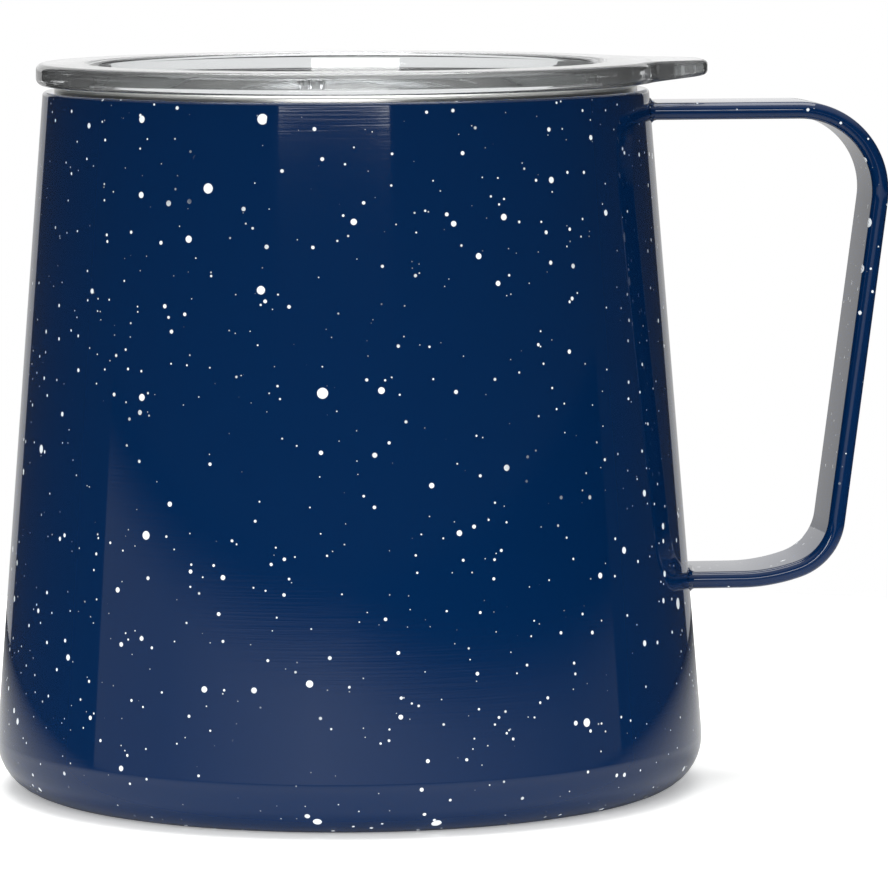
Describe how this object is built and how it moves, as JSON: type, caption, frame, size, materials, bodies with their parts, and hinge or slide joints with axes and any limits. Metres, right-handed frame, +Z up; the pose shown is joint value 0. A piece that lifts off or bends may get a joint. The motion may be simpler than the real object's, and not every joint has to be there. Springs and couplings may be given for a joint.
{
  "type": "insulated camp mug",
  "caption": "Tapered double-wall steel camp mug with a strap handle, wider at the base, and a clear push-in lid with a thumb tab and a drink slider.",
  "frame": {"origin": "where the mug's vertical axis meets the surface that it stands on", "axes": "+Z up along the mug's axis, +X from the axis towards the handle and the lid's thumb tab"},
  "size_m": [0.1137, 0.09, 0.0923],
  "materials": {
    "shell_coat": "glossy navy powder coat with white specks",
    "liner_steel": "polished lip, satin inside",
    "base_steel": "satin",
    "shield_foil": "thin copper foil",
    "solder_glass": "dark fused solder glass",
    "getter_alloy": "sintered grey pellet",
    "clear_plastic": "clear injection-moulded copolyester",
    "silicone": "translucent pale silicone"
  },
  "bodies": {
    "cup": {"outer_shell": "shell_coat", "inner_liner": "liner_steel", "liner_bottom": "liner_steel", "foil_shield": "shield_foil", "outer_bottom": "base_steel", "vacuum_seal": "solder_glass", "bottom_cover": "base_steel", "getter": "getter_alloy", "getter_clip": "base_steel", "handle_strap": "shell_coat", "handle_weld_upper": "shell_coat", "handle_weld_lower": "shell_coat"},
    "seal": {"lid_gasket": "silicone"},
    "cover": {"lid": "clear_plastic"},
    "drink_slider": {"slider": "clear_plastic", "slider_foot": "clear_plastic"}
  },
  "joints": [
    {"name": "lid_lift", "type": "slide", "parent": "cup", "child": "seal", "axis": [0, 0, 1], "range_m": [0, 0.05]},
    {"name": "lid_turn", "type": "hinge", "parent": "seal", "child": "cover", "pos_m": [0, 0, 0.0857], "axis": [0, 0, 1], "continuous": true},
    {"name": "slider_travel", "type": "slide", "parent": "cover", "child": "drink_slider", "axis": [-1, 0, 0], "range_m": [0, 0.0095]}
  ]
}
